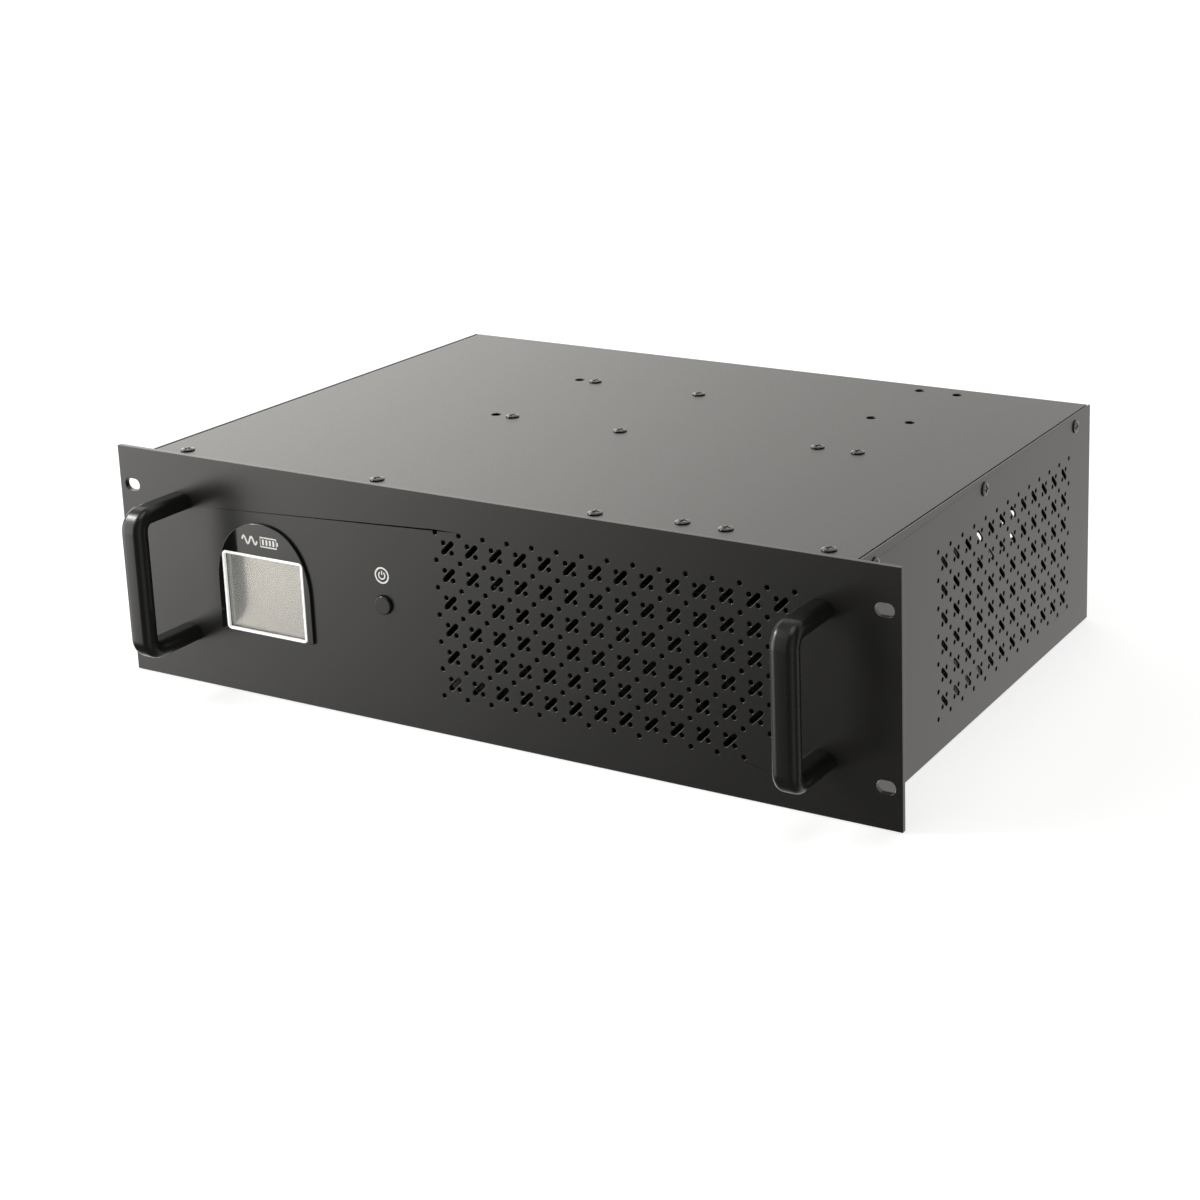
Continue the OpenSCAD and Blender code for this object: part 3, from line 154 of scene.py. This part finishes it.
def clear_glass(name, color, roughness):
    """Thin clear sheet that mostly lets light through and mirrors a little of the room."""
    material, nodes, links, shader = new_material(name)
    coords = nodes.new("ShaderNodeTexCoord")
    smear = noise(nodes, links, coords.outputs["Object"], 60.0)
    links.new(
        spread(nodes, links, smear, roughness, roughness + 0.04),
        shader.inputs["Roughness"],
    )
    shader.inputs["Base Color"].default_value = (*color, 1)
    shader.inputs["Alpha"].default_value = 0.25
    shader.inputs["IOR"].default_value = 1.5
    return material


LCD_GREY = (0.47, 0.445, 0.40)
POWDER = dict(roughness=0.33, ior=1.55, grain=2200.0, bump=0.10, depth=0.00008, tint=0.12, patch=9.0)
MATERIALS = {
    "powder_coat": surface("powder_coat", (0.0085, 0.0082, 0.0075), **POWDER),
    "zinc_steel": surface("zinc_steel", (0.55, 0.56, 0.55), 0.32, 1.0, patch=45, grain=500, stretch=(1, 1, 6)),
    "screw_black": surface("screw_black", (0.012, 0.012, 0.011), 0.2, ior=1.6, patch=300, grain=3000),
    "handle_black": surface("handle_black", (0.008, 0.008, 0.0075), 0.3, ior=1.42, grain=2600, bump=0.06, patch=20),
    "bezel_gloss": surface("bezel_gloss", (0.006, 0.006, 0.0055), 0.07, grain=40, bump=0.01, rough_spread=0.02),
    # The window frame's glow is painted light: an emission that makes the white frame brighter than the lamps alone
    # light it.
    "frame_silver": surface("frame_silver", (0.95, 0.95, 0.93), 0.2, grain=900, bump=0.02, tint=0.03, glow=0.25),
    "lcd_grey": surface("lcd_grey", LCD_GREY, 0.13, 0.85, patch=14, grain=90, bump=0.0, tint=0.04, rough_spread=0.01),
    "board_green": surface("board_green", (0.02, 0.12, 0.05), 0.35, patch=70, grain=900),
    "black_plastic": surface("black_plastic", (0.012, 0.012, 0.012), 0.45, grain=1600, bump=0.12),
    "button_black": surface("button_black", (0.010, 0.010, 0.0095), 0.33, grain=1500, bump=0.04),
    "battery_case": surface("battery_case", (0.07, 0.075, 0.085), 0.5, grain=900, bump=0.15),
    "terminal_metal": surface("terminal_metal", (0.70, 0.69, 0.66), 0.2, 1.0, grain=800),
    "foam_black": surface("foam_black", (0.03, 0.03, 0.03), 0.9, grain=700, bump=0.6, depth=0.0005),
    "cable_red": surface("cable_red", (0.45, 0.02, 0.012), 0.4, grain=500),
    "cable_black": surface("cable_black", (0.015, 0.015, 0.015), 0.4, grain=500),
    "core_steel": surface("core_steel", (0.16, 0.15, 0.14), 0.5, 0.8, grain=900, stretch=(1, 8, 1), bump=0.3),
    "copper_winding": surface("copper_winding", (0.45, 0.20, 0.07), 0.3, 0.6, grain=700, stretch=(1, 1, 5), bump=0.4),
    "sink_aluminium": surface("sink_aluminium", (0.60, 0.61, 0.62), 0.35, 1.0, grain=600, stretch=(1, 0.1, 1)),
    "component_black": surface("component_black", (0.02, 0.02, 0.022), 0.5, grain=1200),
    "cap_sleeve": surface("cap_sleeve", (0.02, 0.035, 0.09), 0.25, grain=400),
    "fuse_yellow": surface("fuse_yellow", (0.55, 0.36, 0.03), 0.35, grain=500),
    "connector_white": surface("connector_white", (0.70, 0.68, 0.60), 0.45, grain=700),
    "ribbon_grey": surface("ribbon_grey", (0.35, 0.36, 0.38), 0.45, grain=300, stretch=(12, 1, 1)),
    "button_red": surface("button_red", (0.50, 0.02, 0.015), 0.3, grain=600),
    "port_metal": surface("port_metal", (0.62, 0.63, 0.63), 0.25, 1.0, grain=700),
    "stud_brass": surface("stud_brass", (0.60, 0.42, 0.14), 0.28, 1.0, grain=800),
    "window_clear": clear_glass("window_clear", (0.8, 0.82, 0.8), 0.03),
}
PRINT_WHITE = surface("print_white", (0.78, 0.78, 0.75), 0.4, grain=1500, bump=0.05, tint=0.05)

slots = {s["node"]: s["material_slot"] for s in frame["record"]["subparts"]}


def dress(obj, material):
    """Gives an object one material."""
    obj.data.materials.clear()
    obj.data.materials.append(material)


def sharp_edges_group():
    """Geometry nodes that mark every edge steeper than CREASE as sharp, and shade the rest smoothly."""
    group = bpy.data.node_groups.new("sharp_edges", "GeometryNodeTree")
    group.interface.new_socket("Geometry", in_out="INPUT", socket_type="NodeSocketGeometry")
    group.interface.new_socket("Geometry", in_out="OUTPUT", socket_type="NodeSocketGeometry")
    nodes, links = group.nodes, group.links
    start = nodes.new("NodeGroupInput")
    faces = nodes.new("GeometryNodeSetShadeSmooth")
    edges = nodes.new("GeometryNodeSetShadeSmooth")
    edges.domain = "EDGE"
    angle = nodes.new("GeometryNodeInputMeshEdgeAngle")
    steep = nodes.new("FunctionNodeCompare")
    steep.operation = "GREATER_THAN"
    steep.inputs["B"].default_value = CREASE
    end = nodes.new("NodeGroupOutput")
    edges.inputs["Shade Smooth"].default_value = False
    links.new(start.outputs["Geometry"], faces.inputs["Geometry"])
    links.new(faces.outputs["Geometry"], edges.inputs["Geometry"])
    links.new(angle.outputs["Unsigned Angle"], steep.inputs["A"])
    links.new(steep.outputs["Result"], edges.inputs["Selection"])
    links.new(edges.outputs["Geometry"], end.inputs["Geometry"])
    return group


CREASE = math.radians(50)
SHARP_EDGES = sharp_edges_group()


def shade(obj):
    """Smooth shading with sharp creases, and flat faces that stay flat beside rounded edges."""
    creases = obj.modifiers.new("creases", "NODES")
    creases.node_group = SHARP_EDGES
    normals = obj.modifiers.new("normals", "WEIGHTED_NORMAL")
    normals.keep_sharp = True


def soften(obj, width, segments=2):
    """Rounds an object's edges a little and shades it."""
    weld = obj.modifiers.new("weld", "WELD")
    weld.merge_threshold = 0.002 * MM
    flatten = obj.modifiers.new("flatten", "DECIMATE")
    flatten.decimate_type = "DISSOLVE"
    flatten.angle_limit = math.radians(1)
    bevel = obj.modifiers.new("bevel", "BEVEL")
    bevel.width = width
    bevel.segments = segments
    bevel.limit_method = "ANGLE"
    bevel.angle_limit = math.radians(30)
    bevel.use_clamp_overlap = False
    shade(obj)


SHEET_EDGE = 0.25 * MM
EDGES = {
    "front_panel": 0.3 * MM,
    "top_cover": 0.45 * MM,
    "left_side_panel": 0.2 * MM,
    "right_side_panel": 0.2 * MM,
    "window_frame": 0.25 * MM,
    "display_bezel": 0.3 * MM,
    "power_button": 0.5 * MM,
}

for node, obj in frame["nodes"].items():
    dress(obj, MATERIALS[slots[node]])
    soften(obj, EDGES.get(node, SHEET_EDGE), 2)

# ---- Shapes built here ----


def mesh_object(name, vertices, faces, material, smooth=False):
    """A mesh object from lists of points and faces."""
    mesh = bpy.data.meshes.new(name)
    mesh.from_pydata(vertices, [], faces)
    mesh.validate()
    mesh.update()
    obj = bpy.data.objects.new(name, mesh)
    bpy.context.scene.collection.objects.link(obj)
    dress(obj, material)
    for polygon in mesh.polygons:
        polygon.use_smooth = smooth
    return obj


def stroke_faces(points, width, front, back, closed, vertices, faces):
    """Adds one printed line in the XZ plane: a strip along the points, front and back faces joined by walls."""
    count = len(points)
    start = len(vertices)
    for i, point in enumerate(points):
        before = points[i - 1] if (i or closed) else point
        after = points[(i + 1) % count] if (i < count - 1 or closed) else point
        along = (Vector(after) - Vector(before)).normalized()
        side = Vector((-along.y, along.x)) * (width / 2)
        for y in (front, back):
            for sign in (1, -1):
                vertices.append((point[0] + sign * side.x, y, point[1] + sign * side.y))
    steps = count if closed else count - 1
    for i in range(steps):
        a = start + 4 * i
        b = start + 4 * ((i + 1) % count)
        for p, q in ((0, 1), (1, 3), (3, 2), (2, 0)):
            faces.append((a + p, b + p, b + q, a + q))
    if not closed:
        end = start + 4 * (count - 1)
        faces.append((start, start + 1, start + 3, start + 2))
        faces.append((end, end + 2, end + 3, end + 1))


def printed(name, lines, face_y):
    """Thin printed lines on a face that looks to the front. lines holds (points, width, closed)."""
    vertices, faces = [], []
    for points, width, closed in lines:
        stroke_faces(points, width, face_y - PRINT_T, face_y + PRINT_SUNK, closed, vertices, faces)
    obj = mesh_object(name, vertices, faces, PRINT_WHITE)
    shape = bmesh.new()
    shape.from_mesh(obj.data)
    bmesh.ops.recalc_face_normals(shape, faces=shape.faces)
    shape.to_mesh(obj.data)
    shape.free()
    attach(obj, "chassis")
    return obj


def arc(cx, cz, radius, start, end, steps):
    """Points on a circle in the XZ plane, from angle start to end in degrees."""
    points = []
    for i in range(steps + 1):
        a = math.radians(start + (end - start) * i / steps)
        points.append((cx + radius * math.cos(a), cz + radius * math.sin(a)))
    return points


PRINT_T = 0.05 * MM
PRINT_SUNK = 0.02 * MM
PANEL_FACE_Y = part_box("front_panel")[0][1]
BEZEL_FACE_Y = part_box("display_bezel")[0][1]

# Standby mark over the power button: a ring round a broken circle with a bar in the gap.
MARK_X, MARK_Z = -60.9 * MM, 16.85 * MM
ring = arc(MARK_X, MARK_Z, 4.15 * MM, 0, 360, 48)[:-1]
inner = arc(MARK_X, MARK_Z, 2.0 * MM, 125, 415, 24)
bar = [(MARK_X, MARK_Z + 0.3 * MM), (MARK_X, MARK_Z + 2.6 * MM)]
printed(
    "standby_mark",
    [(ring, 0.9 * MM, True), (inner, 0.75 * MM, False), (bar, 0.75 * MM, False)],
    PANEL_FACE_Y,
)

# Mains wave and battery outline printed on the bezel.
GLYPH_X, GLYPH_Z = -141.9 * MM, 24.3 * MM
WAVE_L, WAVE_H, WAVE_LINE = 10.5 * MM, 2.1 * MM, 1.1 * MM
WAVE_STEPS = 32
CELL_W, CELL_H, CELL_LINE = 11.0 * MM, 5.2 * MM, 0.8 * MM
TIP_GAP, TIP_H, TIP_LINE = 0.8 * MM, 2.2 * MM, 0.9 * MM
BAR_COUNT, BAR_FIRST, BAR_PITCH = 4, 1.9 * MM, 2.4 * MM
BAR_H, BAR_LINE = 3.2 * MM, 1.3 * MM


def upright(x, height, width):
    """An upright printed line about the middle height of the glyph."""
    return ([(x, GLYPH_Z - height / 2), (x, GLYPH_Z + height / 2)], width, False)


wave_x = GLYPH_X - 12.2 * MM
wave = []
for i in range(WAVE_STEPS + 1):
    share = i / WAVE_STEPS
    wave.append((wave_x + share * WAVE_L, GLYPH_Z + WAVE_H * math.sin(4 * math.pi * share)))
cell_x = GLYPH_X + 0.6 * MM
cell_end = cell_x + CELL_W
low_z, high_z = GLYPH_Z - CELL_H / 2, GLYPH_Z + CELL_H / 2
cell = [(cell_x, low_z), (cell_end, low_z), (cell_end, high_z), (cell_x, high_z)]
glyph = [(wave, WAVE_LINE, False), (cell, CELL_LINE, True), upright(cell_end + TIP_GAP, TIP_H, TIP_LINE)]
for i in range(BAR_COUNT):
    glyph.append(upright(cell_x + BAR_FIRST + i * BAR_PITCH, BAR_H, BAR_LINE))
printed("supply_mark", glyph, BEZEL_FACE_Y)

# ---- Floor, room and lights ----


def build_floor():
    """Wide pale floor under the panel's lower edge."""
    half = 6.0
    z = cad_low.z - 0.0005
    corners = [(-half, -half, z), (half, -half, z), (half, half, z), (-half, half, z)]
    pale = surface("floor", (0.45, 0.45, 0.45), 0.8, tint=0.01, bump=0.01, glow=0.72)
    floor = mesh_object("floor", corners, [(0, 1, 2, 3)], pale)
    floor.visible_glossy = False


def ramp_along(nodes, links, direction, axis, start, end):
    """Smooth 0 to 1 ramp as the view direction turns towards an axis."""
    dot = nodes.new("ShaderNodeVectorMath")
    dot.operation = "DOT_PRODUCT"
    dot.inputs[1].default_value = axis
    links.new(direction, dot.inputs[0])
    ramp = nodes.new("ShaderNodeMapRange")
    ramp.interpolation_type = "SMOOTHSTEP"
    ramp.inputs["From Min"].default_value = start
    ramp.inputs["From Max"].default_value = end
    links.new(dot.outputs["Value"], ramp.inputs["Value"])
    return ramp.outputs["Result"]


def combine(nodes, links, operation, first, second):
    """Math node that joins an output with another output or with a number."""
    node = nodes.new("ShaderNodeMath")
    node.operation = operation
    links.new(first, node.inputs[0])
    if isinstance(second, (int, float)):
        node.inputs[1].default_value = second
    else:
        links.new(second, node.inputs[1])
    return node.outputs["Value"]


LEFT, RIGHT, FRONT, BACK, UP = (-1, 0, 0), (1, 0, 0), (0, -1, 0), (0, 1, 0), (0, 0, 1)
ROOM_BASE = 0.05
# Each soft box of the room: its strength, and the ramps (axis, start, end) that fence it in.
ROOM_BOXES = (
    (4.6, ((LEFT, 0.46, 0.80), (FRONT, 0.0, 0.4), (UP, -0.52, -0.22))),
    (1.5, ((LEFT, 0.38, 0.80), (BACK, 0.0, 0.4))),
    (1.02, ((BACK, 0.15, 0.75),)),
    (0.6, ((RIGHT, 0.3, 0.8), (FRONT, 0.1, 0.5))),
)


def build_room():
    """White to the camera; to the object, bright on the left and behind and dim in front."""
    world = bpy.data.worlds.new("room")
    bpy.context.scene.world = world
    world.use_nodes = True
    nodes, links = world.node_tree.nodes, world.node_tree.links
    nodes.clear()
    coords = nodes.new("ShaderNodeTexCoord")
    total = ROOM_BASE
    for strength, ramps in ROOM_BOXES:
        part = ramp_along(nodes, links, coords.outputs["Generated"], *ramps[0])
        for ramp in ramps[1:]:
            other = ramp_along(nodes, links, coords.outputs["Generated"], *ramp)
            part = combine(nodes, links, "MULTIPLY", part, other)
        part = combine(nodes, links, "MULTIPLY", part, strength)
        total = combine(nodes, links, "ADD", part, total)
    lit = nodes.new("ShaderNodeBackground")
    lit.inputs["Color"].default_value = (1.0, 0.985, 0.95, 1)
    links.new(total, lit.inputs["Strength"])
    seen = nodes.new("ShaderNodeBackground")
    seen.inputs["Color"].default_value = (1, 1, 1, 1)
    path = nodes.new("ShaderNodeLightPath")
    mix = nodes.new("ShaderNodeMixShader")
    output = nodes.new("ShaderNodeOutputWorld")
    links.new(path.outputs["Is Camera Ray"], mix.inputs["Fac"])
    links.new(lit.outputs["Background"], mix.inputs[1])
    links.new(seen.outputs["Background"], mix.inputs[2])
    links.new(mix.outputs["Shader"], output.inputs["Surface"])


def area_light(name, location, target, size, power):
    """A square soft light that faces a target."""
    data = bpy.data.lights.new(name, "AREA")
    data.shape = "SQUARE"
    data.size = size
    data.energy = power
    light = bpy.data.objects.new(name, data)
    light.location = location
    light.rotation_euler = (Vector(target) - Vector(location)).to_track_quat("-Z", "Y").to_euler()
    bpy.context.scene.collection.objects.link(light)
    return light


build_floor()
build_room()
area_light("key", (-1.35, -0.60, 1.20), (-0.05, 0, 0), 0.55, 12)
area_light("overhead", (0.2, -0.3, 1.9), (0, 0.1, 0), 1.2, 12)
# Seen only in reflections: the bright spots on the upper bends of the handles.
glint = area_light("glint", (-1.55, -0.50, 1.15), (-0.05, 0, 0), 0.28, 14)
glint.visible_diffuse = False

# ---- Camera ----
CAMERA_AT = (649.43 * MM, -855.58 * MM, 402.62 * MM)
CAMERA_YAW = math.radians(-27.044)
CAMERA_PITCH = math.radians(13.918)
CAMERA_ROLL = math.radians(-0.717)
SENSOR = 36.0
FOCAL_LENGTH = 65.355
LENS_SHIFT_X = -0.2049
LENS_SHIFT_Y = -0.2065


def build_camera():
    """A lens shifted off the middle of its picture, turned by yaw, pitch and roll."""
    data = bpy.data.cameras.new("camera")
    data.sensor_width = SENSOR
    data.lens = FOCAL_LENGTH
    data.shift_x = LENS_SHIFT_X
    data.shift_y = LENS_SHIFT_Y
    data.clip_start = 0.01
    data.clip_end = 50
    camera = bpy.data.objects.new("camera", data)
    camera.location = CAMERA_AT
    look = Vector(
        (
            math.sin(CAMERA_YAW) * math.cos(CAMERA_PITCH),
            math.cos(CAMERA_YAW) * math.cos(CAMERA_PITCH),
            -math.sin(CAMERA_PITCH),
        )
    )
    right = Vector((math.cos(CAMERA_YAW), -math.sin(CAMERA_YAW), 0))
    up = right.cross(look)
    turned_right = math.cos(CAMERA_ROLL) * right + math.sin(CAMERA_ROLL) * up
    turned_up = math.cos(CAMERA_ROLL) * up - math.sin(CAMERA_ROLL) * right
    basis = (turned_right, turned_up, -look)
    matrix = camera.matrix_world.to_3x3()
    for column, axis in enumerate(basis):
        for row in range(3):
            matrix[row][column] = axis[row]
    camera.rotation_mode = "QUATERNION"
    camera.rotation_quaternion = matrix.to_quaternion()
    bpy.context.scene.collection.objects.link(camera)
    bpy.context.scene.camera = camera


build_camera()
bpy.context.scene.view_settings.view_transform = "Standard"
